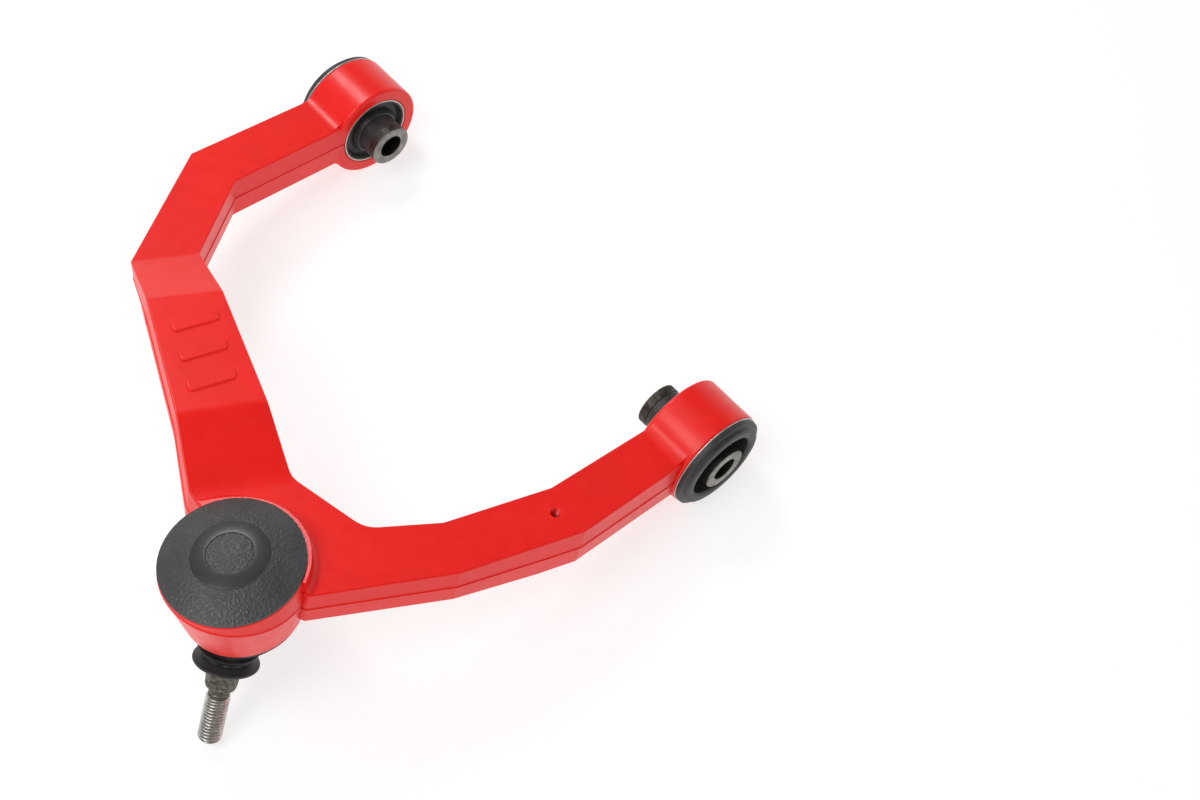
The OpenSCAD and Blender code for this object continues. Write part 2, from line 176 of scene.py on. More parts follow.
def red_paint():
    """Polyester powder coat baked on shot-blasted forged steel: a deep even red with a soft
    gloss, orange peel drawn a little coarse so that it shows, and the slow waves of the
    forging under it."""
    material, tree, place = start("red_powder_coat")
    waves = add(tree, "ShaderNodeTexNoise", {"Vector": place, "Scale": per_mm(28), "Detail": 2.0})
    peel = add(tree, "ShaderNodeTexNoise", {"Vector": place, "Scale": per_mm(1.6), "Detail": 3.0})
    specks = add(tree, "ShaderNodeTexNoise", {"Vector": place, "Scale": per_mm(7), "Detail": 4.0})
    colour = add(tree, "ShaderNodeValToRGB", {"Fac": waves},
                 stops=[(0.3, linear("#E80C02")), (0.7, linear("#F01002"))])
    rough = add(tree, "ShaderNodeValToRGB", {"Fac": specks}, stops=[(0.3, grey(0.33)), (0.7, grey(0.42))])
    low = add(tree, "ShaderNodeBump", {"Height": waves, "Strength": 0.25, "Distance": 0.35 * MM})
    fine = add(tree, "ShaderNodeBump", {"Height": peel, "Strength": 0.3, "Distance": 0.05 * MM,
                                        "Normal": low})
    surface = add(tree, "ShaderNodeBsdfPrincipled", {
        "Base Color": colour, "Roughness": rough, "IOR": 1.43, "Normal": fine,
        "Coat Weight": 0.1, "Coat Roughness": 0.12})
    add(tree, "ShaderNodeOutputMaterial", {"Surface": surface})
    return material


def moulded_rubber():
    """Carbon-black natural rubber, compression moulded: nearly black, with a dull bloom
    and a faint grain from the mould."""
    material, tree, place = start("moulded_black_rubber")
    bloom = add(tree, "ShaderNodeTexNoise", {"Vector": place, "Scale": per_mm(9), "Detail": 5.0})
    grain = add(tree, "ShaderNodeTexNoise", {"Vector": place, "Scale": per_mm(0.7), "Detail": 3.0})
    colour = add(tree, "ShaderNodeValToRGB", {"Fac": bloom},
                 stops=[(0.3, linear("#212122")), (0.75, linear("#343434"))])
    rough = add(tree, "ShaderNodeValToRGB", {"Fac": bloom}, stops=[(0.3, grey(0.42)), (0.7, grey(0.58))])
    bump = add(tree, "ShaderNodeBump", {"Height": grain, "Strength": 0.35, "Distance": 0.08 * MM})
    surface = add(tree, "ShaderNodeBsdfPrincipled", {
        "Base Color": colour, "Roughness": rough, "IOR": 1.52, "Normal": bump})
    add(tree, "ShaderNodeOutputMaterial", {"Surface": surface})
    return material


def moulded_plastic(name, colour_low, colour_high, pebble, height, rough_low, rough_high):
    """Plastic from a mould: a nearly even colour, over rounded pebbles of the given size and
    height in mm, which the tool's etched wall leaves."""
    material, tree, place = start(name)
    cells = add(tree, "ShaderNodeTexVoronoi", {"Vector": place, "Scale": per_mm(pebble),
                                               "Smoothness": 0.6}, feature="SMOOTH_F1")
    haze = add(tree, "ShaderNodeTexNoise", {"Vector": place, "Scale": per_mm(12), "Detail": 3.0})
    colour = add(tree, "ShaderNodeValToRGB", {"Fac": haze},
                 stops=[(0.3, linear(colour_low)), (0.7, linear(colour_high))])
    rough = add(tree, "ShaderNodeValToRGB", {"Fac": cells},
                stops=[(0.1, grey(rough_low)), (0.6, grey(rough_high))])
    bump = add(tree, "ShaderNodeBump", {"Height": cells, "Strength": 0.6, "Distance": height * MM},
               invert=True)
    surface = add(tree, "ShaderNodeBsdfPrincipled", {
        "Base Color": colour, "Roughness": rough, "IOR": 1.53, "Normal": bump})
    add(tree, "ShaderNodeOutputMaterial", {"Surface": surface})
    return material


def steel(name, colour_low, colour_high, rough_low, rough_high, blotch, height, grain=0.5):
    """Bare or plated steel: a metal between two shades, in blotches of the given size in mm,
    over a grain of the given size and height."""
    material, tree, place = start(name)
    stain = add(tree, "ShaderNodeTexNoise", {"Vector": place, "Scale": per_mm(blotch), "Detail": 6.0,
                                             "Roughness": 0.65})
    fine = add(tree, "ShaderNodeTexNoise", {"Vector": place, "Scale": per_mm(grain), "Detail": 3.0})
    colour = add(tree, "ShaderNodeValToRGB", {"Fac": stain},
                 stops=[(0.35, linear(colour_low)), (0.65, linear(colour_high))])
    rough = add(tree, "ShaderNodeValToRGB", {"Fac": stain},
                stops=[(0.35, grey(rough_high)), (0.65, grey(rough_low))])
    bump = add(tree, "ShaderNodeBump", {"Height": fine, "Strength": 0.5, "Distance": height * MM})
    surface = add(tree, "ShaderNodeBsdfPrincipled", {
        "Base Color": colour, "Roughness": rough, "Metallic": 1.0, "Normal": bump})
    add(tree, "ShaderNodeOutputMaterial", {"Surface": surface})
    return material


RED = red_paint()
RUBBER = moulded_rubber()
# Glass-filled nylon from an etched tool: dark grey pebbles, drawn coarse enough to show.
CAP = moulded_plastic("grained_black_nylon", "#2F3031", "#3B3C3D", 1.4, 0.5, 0.3, 0.55)
# The same nylon where the tool is polished: a smooth ring with a soft even gloss.
CAP_SMOOTH = moulded_plastic("polished_black_nylon", "#2C2D2E", "#303132", 1.1, 0.01, 0.26, 0.26)
# Moulded acetal, undyed: milky white and waxy.
SEAT = moulded_plastic("natural_acetal", "#DAD9CF", "#E4E3DA", 3.0, 0.02, 0.3, 0.4)
# Turned steel, lightly oiled: a mid grey with a warm cast and blurred reflections.
SLEEVE = steel("machined_sleeve_steel", "#6E6B67", "#98958F", 0.38, 0.52, 5.0, 0.03)
# The same tube as drawn and phosphated for bonding: dark and dull.
DARK_STEEL = steel("dark_phosphated_steel", "#34322F", "#55524D", 0.45, 0.6, 3.0, 0.04)
# Zinc-plated sheet: pale grey with a satin shine.
SHELL = steel("zinc_plated_steel", "#B4B2AB", "#D0CEC8", 0.32, 0.42, 6.0, 0.02)
# Forged and phosphated steel: brown-grey and mottled, its crystals drawn coarse so that they show. On the
# thread's roots the same dark steel is painted shade in the grooves.
SHANK_AND_ROOT_SHADE = steel("phosphated_stud_steel_and_root_shade", "#48463F", "#7C7970", 0.42, 0.62, 1.6, 0.12, 0.9)
# Bright steel with sharp highlights on the thread's crests, beside the painted shade of the darker steel
# in its roots.
THREAD = steel("rolled_thread_steel", "#A6A49E", "#D2D0CB", 0.28, 0.4, 3.0, 0.02)
# Hardened spring steel in black oxide: blue-black with a dull shine.
SPRING = steel("black_oxide_spring_steel", "#2E2E30", "#4A4A4C", 0.35, 0.5, 4.0, 0.02)


# ---------------------------------------------------------------- mesh tools
def rounded(corners, steps=10):
    """A closed outline whose corners (x, y, radius) are turned with arcs; steps is the
    number of pieces in an arc of half a turn."""
    points = []
    count = len(corners)
    for i, (x, y, radius) in enumerate(corners):
        at = Vector((x, y))
        before = Vector(corners[i - 1][:2]) - at
        after = Vector(corners[(i + 1) % count][:2]) - at
        half = before.angle(after) / 2
        if radius <= 0 or half > math.radians(87):
            points.append(at)
            continue
        cut = min(radius / math.tan(half), 0.48 * before.length, 0.48 * after.length)
        middle = at + (before.normalized() + after.normalized()).normalized() * cut / math.cos(half)
        first, last = at + before.normalized() * cut, at + after.normalized() * cut
        a, b = first - middle, last - middle
        pieces = max(1, math.ceil(steps * (1 - half / math.radians(90))))
        points += [middle + a.slerp(b, k / pieces) * a.length for k in range(pieces + 1)]
    return points


def as_object(bm, name, materials, place=None, sharp=32):
    """The bmesh as a finished object at the origin, smooth but for edges over sharp degrees."""
    if place is not None:
        bm.transform(metres(place))
    bmesh.ops.remove_doubles(bm, verts=bm.verts, dist=0.002 * MM)
    for face in bm.faces:
        face.smooth = True
    for edge in bm.edges:
        edge.smooth = len(edge.link_faces) == 2 and edge.calc_face_angle() < math.radians(sharp)
    mesh = bpy.data.meshes.new(name)
    bm.to_mesh(mesh)
    bm.free()
    for material in materials:
        mesh.materials.append(material)
    piece = bpy.data.objects.new(name, mesh)
    bpy.context.scene.collection.objects.link(piece)
    return piece


def weighted(piece):
    """Big flat faces keep their own normals beside rounded edges."""
    normals = piece.modifiers.new("even_shading", "WEIGHTED_NORMAL")
    normals.keep_sharp = True
    return piece


def spun(outline, turns=144, closed=True):
    """A bmesh of the outline (radius, height) spun about Z."""
    bm = bmesh.new()
    ring = [bm.verts.new((p[0], 0, p[1])) for p in outline]
    for a, b in zip(ring, ring[1:] + ring[:1] if closed else ring[1:]):
        if a.co.x > 1e-6 or b.co.x > 1e-6:
            bm.edges.new((a, b))
    bmesh.ops.spin(bm, geom=bm.verts[:] + bm.edges[:], cent=(0, 0, 0), axis=(0, 0, 1),
                   angle=math.tau, steps=turns, use_merge=True, use_duplicate=False)
    bmesh.ops.remove_doubles(bm, verts=bm.verts, dist=1e-4)
    bmesh.ops.recalc_face_normals(bm, faces=bm.faces)
    return bm


def lofted(rings):
    """A bmesh of the closed solid through flat rings, each with the same number of points."""
    bm = bmesh.new()
    bm.faces.new([bm.verts.new(point) for point in rings[0]])
    top = bm.faces.new([bm.verts.new(point) for point in rings[0]])
    for ring in rings[1:]:
        top = bmesh.ops.extrude_discrete_faces(bm, faces=[top])["faces"][0]
        for vert, point in zip(top.verts, ring):
            vert.co = point
    bmesh.ops.remove_doubles(bm, verts=bm.verts, dist=1e-4)
    bmesh.ops.recalc_face_normals(bm, faces=bm.faces)
    return bm


def lathe(name, corners, place, materials):
    """A turned piece from the closed outline (radius, height, corner radius) of its wall."""
    return weighted(as_object(spun(rounded(corners)), name, materials, place))


def bake(piece):
    """Applies the piece's modifiers to its mesh."""
    bpy.context.view_layer.update()
    graph = bpy.context.evaluated_depsgraph_get()
    mesh = bpy.data.meshes.new_from_object(piece.evaluated_get(graph))
    piece.modifiers.clear()
    piece.data = mesh


def boolean(piece, tool, operation):
    """Adds the tool to the piece, cuts it away or keeps what both share, and removes the tool."""
    step = piece.modifiers.new(operation, "BOOLEAN")
    step.object, step.operation, step.solver = tool, operation, "EXACT"
    bake(piece)
    bpy.data.objects.remove(tool)


# ---------------------------------------------------------------- forging
def station(x, y, turn, width):
    """The two sides of a leg at one place, from its middle, direction across it and width."""
    across = Vector((math.cos(math.radians(turn)), math.sin(math.radians(turn))))
    wide = width / 2 + DRAFT + FLASH
    return Vector((x, y)) - across * wide, Vector((x, y)) + across * wide


def span(share):
    """How far along the pivot axis a share of the way from the boss to the long eye is."""
    return boss.x + share * (spacing - boss.x)


LONG_EYE = station(spacing + 3.5, 12, 0, 30.6 - 2 * (DRAFT + FLASH))
LONG_CORNER = station(spacing - 0.7, REACH * 0.431, 16, 31)
ARCH_FOOT = station(span(0.803), REACH * 0.675, ARCH_TURN, 35.8)
ARCH_TOP = station(span(0.627), REACH * 0.736, ARCH_TURN - 3, 38.5)
ARCH_END = station(span(0.314), REACH * 0.843, ARCH_TURN + 1, 44.5)
ARCH_ROOT = station(boss.x + 36.5, REACH - 27, ARCH_TURN, 49.5)
SHORT_EYE = station(-3, 12, 0, 29.6 - 2 * (DRAFT + FLASH))
SHORT_LOW = station(-4, REACH * 0.39, -7, 30)
SHORT_HIGH = station(boss.x * 0.189, REACH * 0.644, -24, 30)
WEB_CORNER = Vector((boss.x - 16.4, REACH - 61.5))
BOSS_FOOT = Vector((boss.x - 33.5, REACH - 14.4))
ALONG = Vector((-math.sin(math.radians(ARCH_TURN)), math.cos(math.radians(ARCH_TURN))))
ACROSS = Vector((math.cos(math.radians(ARCH_TURN)), math.sin(math.radians(ARCH_TURN))))


def middle_of(sides):
    """The middle of a leg at a station."""
    return (sides[0] + sides[1]) / 2


CREASES = [middle_of(sides).dot(ALONG) for sides in (ARCH_FOOT, ARCH_TOP, ARCH_END, ARCH_ROOT)]
TAPER_FROM, TAPER_RISE = Vector((-13, REACH * 0.488)), Vector((-0.285, 0.155))


def arch_share(u):
    """0 on the flat, 1 on the arch's top, with rounded creases."""
    foot, top, end, root = CREASES
    up, down = 1 / (top - foot), -1 / (root - end)
    total = 0.0
    for knot, change, half in zip(CREASES, (up, -up, down, -down), CREASE_HALF):
        d = u - knot
        if d > half:
            total += change * d
        elif d > -half:
            total += change * (d + half) ** 2 / (4 * half)
    return total


def lift(point):
    """How far the arch, or the short leg's taper, raises a point of the flat blank."""
    flat = Vector((point.x, point.y))
    share = (point.z + HALF_T) / (2 * HALF_T)
    taper = max(0.0, (flat - TAPER_FROM).dot(TAPER_RISE)) * (1 - share)
    on_short_leg = flat.dot(ACROSS) < WEB_CORNER.dot(ACROSS) - 20
    if on_short_leg:
        return taper
    low_rise = ARCH_RISE + 2 * HALF_T - ARCH_T
    return taper + arch_share(flat.dot(ALONG)) * (ARCH_RISE * share + low_rise * (1 - share))


def inward(points):
    """For each point of a closed outline, how it moves when the outline shrinks by one."""
    area = sum(p.cross(q) for p, q in zip(points, points[1:] + points[:1]))
    sign = 1 if area > 0 else -1
    normals = [Vector((p.y - q.y, q.x - p.x)).normalized() * sign
               for p, q in zip(points, points[1:] + points[:1])]
    return [(m + n) / (1 + m.dot(n)) for m, n in zip(normals[-1:] + normals[:-1], normals)]


def stack(outline, levels):
    """A solid that narrows from its base: (inset, height) of each level of the outline."""
    pushes = inward(outline)
    return lofted([[(*(point + push * inset), height) for point, push in zip(outline, pushes)]
                   for inset, height in levels])


def round_edge(inset, top, radius, pieces=5):
    """The levels of a rounded edge that ends on a flat top."""
    turns = [math.radians(90 * k / pieces) for k in range(1, pieces + 1)]
    return [(inset + radius * (1 - math.cos(a)), top - radius * (1 - math.sin(a))) for a in turns]


def relieve(vert):
    """Under the arch's foot the outer corner is drawn in towards the bottom."""
    corner = Vector(ARCH_FOOT[1])
    spread = 14
    near = 1 - (Vector((vert.co.x, vert.co.y)) - corner).length / spread
    if near > 0:
        depth = (HALF_T - vert.co.z) / (2 * HALF_T)
        pull = FOOT_RELIEF * depth * min(1.0, 2 * near)
        vert.co.x -= pull * ACROSS.x
        vert.co.y -= pull * ACROSS.y


def blank_outline():
    """The legs' outline at the parting line."""
    inner, crisp, web = 2.0, 2.4, 14
    corners = [
        (SHORT_EYE[1], 0), (SHORT_LOW[1], inner), (SHORT_HIGH[1], inner), (WEB_CORNER, web),
        (ARCH_ROOT[0], 10), (ARCH_END[0], inner), (ARCH_TOP[0], inner), (ARCH_FOOT[0], inner),
        (LONG_CORNER[0], inner), (LONG_EYE[0], 0), (LONG_EYE[1], 0), (LONG_CORNER[1], crisp),
        (ARCH_FOOT[1], crisp), (ARCH_TOP[1], crisp), (ARCH_END[1], crisp), (ARCH_ROOT[1], 6),
        (Vector((boss.x, REACH)), 0), (BOSS_FOOT, 0), (SHORT_HIGH[0], crisp),
        (SHORT_LOW[0], crisp), (SHORT_EYE[0], 0)]
    return rounded([(c.x, c.y, r) for c, r in corners], 12)


def legs():
    """Both legs as one die-forged blank: walls with draft from a parting line, round edges."""
    levels = [(0.0, 0.0), (0.05, 0.2), (FLASH, 0.5), (FLASH + DRAFT, HALF_T - EDGE_R)]
    bm = stack(blank_outline(), levels + round_edge(FLASH + DRAFT, HALF_T, EDGE_R))
    base = [f for f in bm.faces if all(v.co.z < 0.01 for v in f.verts)]
    bmesh.ops.delete(bm, geom=base, context="FACES_ONLY")
    bmesh.ops.mirror(bm, geom=bm.verts[:] + bm.edges[:] + bm.faces[:], matrix=Matrix.Identity(4),
                     merge_dist=1e-3, axis="Z")
    bmesh.ops.recalc_face_normals(bm, faces=bm.faces)
    for knot, half in zip(CREASES, CREASE_HALF):
        for share in (-1, -0.6, -0.2, 0.2, 0.6, 1):
            at = ALONG * (knot + share * half)
            bmesh.ops.bisect_plane(bm, geom=bm.verts[:] + bm.edges[:] + bm.faces[:], dist=1e-5,
                                   plane_co=(at.x, at.y, 0), plane_no=(ALONG.x, ALONG.y, 0))
    bmesh.ops.bisect_plane(bm, geom=bm.verts[:] + bm.edges[:] + bm.faces[:], dist=1e-5,
                           plane_co=(*TAPER_FROM, 0), plane_no=(*TAPER_RISE, 0))
    for vert in bm.verts:
        relieve(vert)
        vert.co.z += lift(vert.co)
    return as_object(bm, "arm_forging_body", [RED], PLANE)


def tool(name, corners, place):
    return as_object(spun(rounded(corners, 8)), name, [RED], place)


def eye_fillet(leg_sides):
    """The soft corner where a leg's faces run into its eye."""
    x_low, x_high = leg_sides[0].x + INSET, leg_sides[1].x - INSET
    radius, steps = 12.0, 10
    centre = Vector((math.sqrt((EYE_R + radius) ** 2 - (HALF_T + radius) ** 2), HALF_T + radius))
    touch = centre * EYE_R / (EYE_R + radius)
    a, b = touch - centre, Vector((0, -radius))
    arc = [centre + a.slerp(b, k / steps) * radius for k in range(steps + 1)]
    bm = bmesh.new()
    for sign in (1, -1):
        ends = [(touch.x - 4, sign * (HALF_T - 3))] + [(p.x, sign * (p.y - 0.01)) for p in arc]
        ends.append((arc[-1].x, sign * (HALF_T - 3)))
        face = bm.faces.new([bm.verts.new((x_low, y, z)) for y, z in ends])
        grown = bmesh.ops.extrude_face_region(bm, geom=[face])["geom"]
        bmesh.ops.translate(bm, verts=[g for g in grown if isinstance(g, bmesh.types.BMVert)],
                            vec=(x_high - x_low, 0, 0))
    bmesh.ops.recalc_face_normals(bm, faces=bm.faces)
    return as_object(bm, "eye_fillet", [RED], PLANE)


def faced_off(bm):
    """Cuts a solid square to the joint's axis at the collar's height and closes it."""
    bmesh.ops.bisect_plane(bm, geom=bm.verts[:] + bm.edges[:] + bm.faces[:], dist=1e-5,
                           plane_co=JOINT @ Vector((0, 0, COLLAR_TOP)), plane_no=joint_dir,
                           clear_outer=True)
    rim = [e for e in bm.edges if len(e.link_faces) == 1]
    bmesh.ops.contextual_create(bm, geom=rim)
    bmesh.ops.recalc_face_normals(bm, faces=bm.faces)


def circle(place, height, radius, turns=160):
    """The points of a ring round a place's Z axis, counted from the world's X."""
    axis = place.to_3x3().col[2].normalized()
    across = (Vector((1, 0, 0)) - axis * axis.x).normalized()
    along = axis.cross(across)
    middle = place @ Vector((0, 0, height))
    return [middle + radius * (across * math.cos(a) + along * math.sin(a))
            for a in (math.tau * k / turns for k in range(turns))]


def boss_drum():
    """The boss: a cone that leans from the joint's axis to the parting ridge, a drum above it.
    Each ring is a place, a height and a radius, from the bottom up."""
    rings = [(JOINT, -21.8, 28.4), (JOINT, -21.6, 29.1), (JOINT, -20.9, 29.7),
             (RIDGE, -0.6, 35.1), (RIDGE, -0.2, 35.4), (RIDGE, 0.2, 35.4), (RIDGE, 0.6, 35.0),
             (JOINT, COLLAR_TOP - 1.0, 34.6), (JOINT, COLLAR_TOP - 0.5, 34.5),
             (JOINT, COLLAR_TOP - 0.1, 34.1), (JOINT, COLLAR_TOP, 33.6)]
    return as_object(lofted([circle(*ring) for ring in rings]), "boss", [RED], Matrix.Identity(4))


def boss_cove(outline):
    """The hollow sweep from the legs' top up to the boss's collar."""
    low, rim, high = 9, HALF_T - 0.1, 30
    rim_r, wall_r = 46.5, 35.5
    bm = spun(rounded([(0, low, 0), (rim_r, low, 0), (rim_r, rim, 0), (wall_r, rim, COVE_R),
                       (wall_r - 0.3, high, 0), (0, high, 0)], 24), 160)
    bm.transform(COVE)
    faced_off(bm)
    cove = as_object(bm, "cove", [RED], Matrix.Identity(4))
    keep = stack(outline, [(INSET, 5), (INSET, 45)])
    boolean(cove, as_object(keep, "cove_limits", [RED], PLANE), "INTERSECT")
    return cove


def arch_ribs():
    """Plain raised ribs across the top of the arch, each a little askew to its creases."""
    top = HALF_T + ARCH_RISE
    half_wide, half_long, skew = 4.2, 12.5, 2.5
    proud, draft, edge_r, corner_r = 1.1, 0.35, 0.6, 2.6
    bm = bmesh.new()
    across = (middle_of(ARCH_TOP) + middle_of(ARCH_END)).dot(ACROSS) / 2
    for share in (0.24, 0.5, 0.76):
        u = CREASES[1] + (CREASES[2] - CREASES[1]) * share
        middle = ALONG * u + ACROSS * across
        side, length = ALONG * half_wide, ACROSS * half_long + ALONG * skew
        corners = [middle - side - length, middle + side - length,
                   middle + side + length, middle - side + length]
        levels = [(0, top - 1.5), (0, top + 0.05), (draft, top + proud - edge_r)]
        rib = stack(rounded([(c.x, c.y, corner_r) for c in corners], 20),
                    levels + round_edge(draft, top + proud, edge_r, 3))
        mesh = bpy.data.meshes.new("rib")
        rib.to_mesh(mesh)
        rib.free()
        bm.from_mesh(mesh)
    return as_object(bm, "ribs", [RED], PLANE)


def forging():
    """The forged body, with its bored eyes and the ball joint's cavity."""
    body = legs()
    for sides in (SHORT_EYE, LONG_EYE):
        boolean(body, eye_fillet(sides), "UNION")
    core_r = 15
    eye = [(core_r, -EYE_IN, 0), (EYE_R, -EYE_IN, 1.6), (EYE_R, EYE_OUT, 1.2), (core_r, EYE_OUT, 0)]
    for place in (AT_SHORT, AT_LONG):
        boolean(body, tool("eye", eye, place), "UNION")
    boolean(body, boss_drum(), "UNION")
    boolean(body, boss_cove(blank_outline()), "UNION")
    boolean(body, arch_ribs(), "UNION")
    inside_z = -15
    snout = [(0, SNOUT_Z, 0), (SNOUT_R, SNOUT_Z, 0.6), (SNOUT_R, inside_z, 0), (0, inside_z, 0)]
    boolean(body, tool("snout", snout, JOINT), "UNION")
    past, lead = 2.0, 0.9
    bore = [(0, -EYE_IN - past, 0), (SHELL_R + past + lead, -EYE_IN - past, 0),
            (SHELL_R, -EYE_IN + lead, 0), (SHELL_R, EYE_OUT + past, 0), (0, EYE_OUT + past, 0)]
    for place in (AT_SHORT, AT_LONG):
        boolean(body, tool("bore", bore, place), "DIFFERENCE")
    mouth_r, throat_r, throat_z = 22.6, 15.6, -18.9
    ledge_r, ledge_z = 28.85, 8.3
    cavity = [(0, SNOUT_Z - 1, 0), (mouth_r, SNOUT_Z - 1, 0), (throat_r, throat_z, 0),
              (SEAT_R, throat_z, 0), (SEAT_R, ledge_z, 0), (ledge_r, ledge_z, 0),
              (ledge_r, COLLAR_TOP + past, 0), (0, COLLAR_TOP + past, 0)]
    boolean(body, tool("cavity", cavity, JOINT), "DIFFERENCE")
    return body


def bracket_hole(body):
    """A tapped hole whose wall shows its thread as fine rings."""
    drill_r, pitch, chamfer, past = 2.5, 1.0, 0.8, 2
    start_z, mouth_z, mouth_r = HALF_T - chamfer + 0.2, HALF_T + past, drill_r + 2.6
    wall = [(0, -mouth_z), (mouth_r, -mouth_z), (drill_r, -start_z)]
    for k in range(int((2 * HALF_T - 2 * chamfer) / pitch)):
        low = -HALF_T + chamfer + k * pitch
        wall += [(drill_r, low + 0.2 * pitch), (drill_r + 0.45, low + 0.6 * pitch)]
    wall += [(drill_r, start_z), (mouth_r, mouth_z), (0, mouth_z)]
    boolean(body, as_object(spun(wall, 48), "tap", [SLEEVE], HOLE), "DIFFERENCE")


def finish_forging():
    """The forging, with the slivers that its cuts leave merged away and their gaps closed."""
    body = forging()
    bracket_hole(body)
    bm = bmesh.new()
    bm.from_mesh(body.data)
    bmesh.ops.remove_doubles(bm, verts=bm.verts, dist=0.01 * MM)
    bmesh.ops.dissolve_degenerate(bm, dist=0.01 * MM, edges=bm.edges)
    bmesh.ops.holes_fill(bm, edges=[e for e in bm.edges if len(e.link_faces) == 1], sides=4)
    bmesh.ops.delete(bm, geom=[e for e in bm.edges if not e.link_faces], context="EDGES")
    for face in bm.faces:
        face.smooth = True
    for edge in bm.edges:
        edge.smooth = len(edge.link_faces) == 2 and edge.calc_face_angle() < math.radians(26)
    bm.to_mesh(body.data)
    bm.free()
    weighted(body)
    body.name = "forged_arm"
    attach(body, "arm")
    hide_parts("arm_forging")


# ---------------------------------------------------------------- bushings
def bushing(side, place, pivot_body):
    """One bonded bushing: flanged shell, rubber with its bumper, steel sleeve and its skin."""
    # The outer half of the shell's wall is bare steel, and the rubber is bonded over the rest.
    inner = SHELL_R - SHELL_WALL / 2
    flange_face = EYE_OUT + SHELL_WALL / 2
    shell = lathe(f"{side}_shell_ring", [
        (inner, -EYE_IN + 0.2, 0.2), (SHELL_R, -EYE_IN + 0.2, 0.3), (SHELL_R, EYE_OUT, 0.2),
        (FLANGE_R, EYE_OUT, 0.3), (FLANGE_R, flange_face, 0.3), (inner, flange_face, 0.2)],
        place, [SHELL])
    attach(shell, "arm")
    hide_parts(f"{side}_shell")

    bore = SKIN_R + 0.05
    top = FLANGE_TOP + 4.6
    # Out over the inner hollow, up the shell, round the bumper and back through the outer hollow.
    rubber = lathe(f"{side}_rubber_bush", [
        (bore, -EYE_IN - 1.5, 0.3), (bore + 1.2, -EYE_IN - 1.3, 0.5), (bore + 2.4, -EYE_IN + 4.0, 1.6),
        (inner - 2.6, -EYE_IN + 4.6, 1.8), (inner - 1.0, -EYE_IN + 0.3, 0.6),
        (inner, -EYE_IN + 0.3, 0), (inner, flange_face, 0), (FLANGE_R - 0.3, flange_face, 0.2),
        (FLANGE_R - 0.5, FLANGE_TOP + 1.6, 0.7), (26.9, FLANGE_TOP + 2.1, 0.7),
        (26.2, FLANGE_TOP + 2.2, 0.5), (25.6, top - 0.6, 0.9), (24.0, top, 0.8), (20.9, top, 1.0),
        (19.6, top - 1.2, 0.8), (18.6, FLANGE_TOP - 10.0, 2.2), (bore + 1.6, FLANGE_TOP - 11.0, 2.2),
        (bore + 0.5, FLANGE_TOP - 3.5, 1.0), (bore, FLANGE_TOP - 3.2, 0.2)], place, [RUBBER])
    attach(rubber, "arm")
    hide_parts(f"{side}_rubber")

    body_r = SKIN_R - 1.3
    half, end = SLEEVE_HALF, SLEEVE_HALF - SLEEVE_END
    sleeve = lathe(f"{side}_inner_sleeve", [
        (SLEEVE_BORE_R, -half, 0.5), (SLEEVE_END_R, -half, 0.7), (SLEEVE_END_R, -end, 0.3),
        (body_r, -end, 0), (body_r, end, 0), (SLEEVE_END_R, end, 0.3),
        (SLEEVE_END_R, half, 0.7), (SLEEVE_BORE_R, half, 0.5)], place, [SLEEVE, DARK_STEEL])
    axis = place.to_3x3() @ Vector((0, 0, 1))
    for face in sleeve.data.polygons:
        face.material_index = 0 if abs(face.normal.dot(axis)) > 0.4 else 1
    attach(sleeve, pivot_body)
    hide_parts(f"{side}_sleeve")

    skin = lathe(f"{side}_sleeve_rubber", [
        (body_r, -end, 0), (SKIN_R, -end + 0.05, 0.5), (SKIN_R, end - 0.05, 0.5),
        (body_r, end, 0)], place, [RUBBER])
    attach(skin, pivot_body)
    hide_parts(f"{side}_sleeve_skin")


# ---------------------------------------------------------------- ball joint
def dust_cap():
    """A shallow dome with a turned rim, pebbled, with a smooth raised ring on it."""
    dome_r = CAP_R - 0.7
    ball = (dome_r ** 2 + DOME_H ** 2) / (2 * DOME_H)
    crown = CAP_RIM + DOME_H

    def dome(r, drop=0.0):
        return crown - drop - ball + math.sqrt(ball ** 2 - r ** 2)

    ring_in, ring_out = 11.0, 18.5
    raised = [(ring_in, 0.0), (ring_in + 0.3, -0.5), (ring_in + 1.5, -0.55),
              (ring_out - 1.5, -0.55), (ring_out - 0.3, -0.5), (ring_out, 0.0)]
    outer = [(r, dome(r)) for r in (dome_r * k / 28 for k in range(28))
             if not ring_in - 0.5 < r < ring_out + 0.5]
    outer = sorted(outer + [(r, dome(r, drop)) for r, drop in raised])
    rim = [(dome_r, CAP_RIM), (CAP_R, CAP_RIM - 0.25), (CAP_R, COLLAR_TOP + 0.3),
           (CAP_R - 0.3, COLLAR_TOP)]
    skirt_r, wall, low = 27.15, 1.8, COLLAR_TOP - 2.8
    skirt = [(skirt_r, COLLAR_TOP), (skirt_r, low), (skirt_r - wall, low)]
    under = [(r, dome(r, wall)) for r in ((skirt_r - wall) * k / 12 for k in range(12, -1, -1))]
    bm = spun(outer + rim + skirt + under, 160)
    for face in bm.faces:
        spot = face.calc_center_median()
        if ring_in < Vector((spot.x, spot.y)).length < ring_out and spot.z > CAP_RIM:
            face.material_index = 1
    cap = as_object(bm, "pebbled_dust_cap", [CAP, CAP_SMOOTH], JOINT, 14)
    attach(cap, "arm")
    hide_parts("dust_cap")


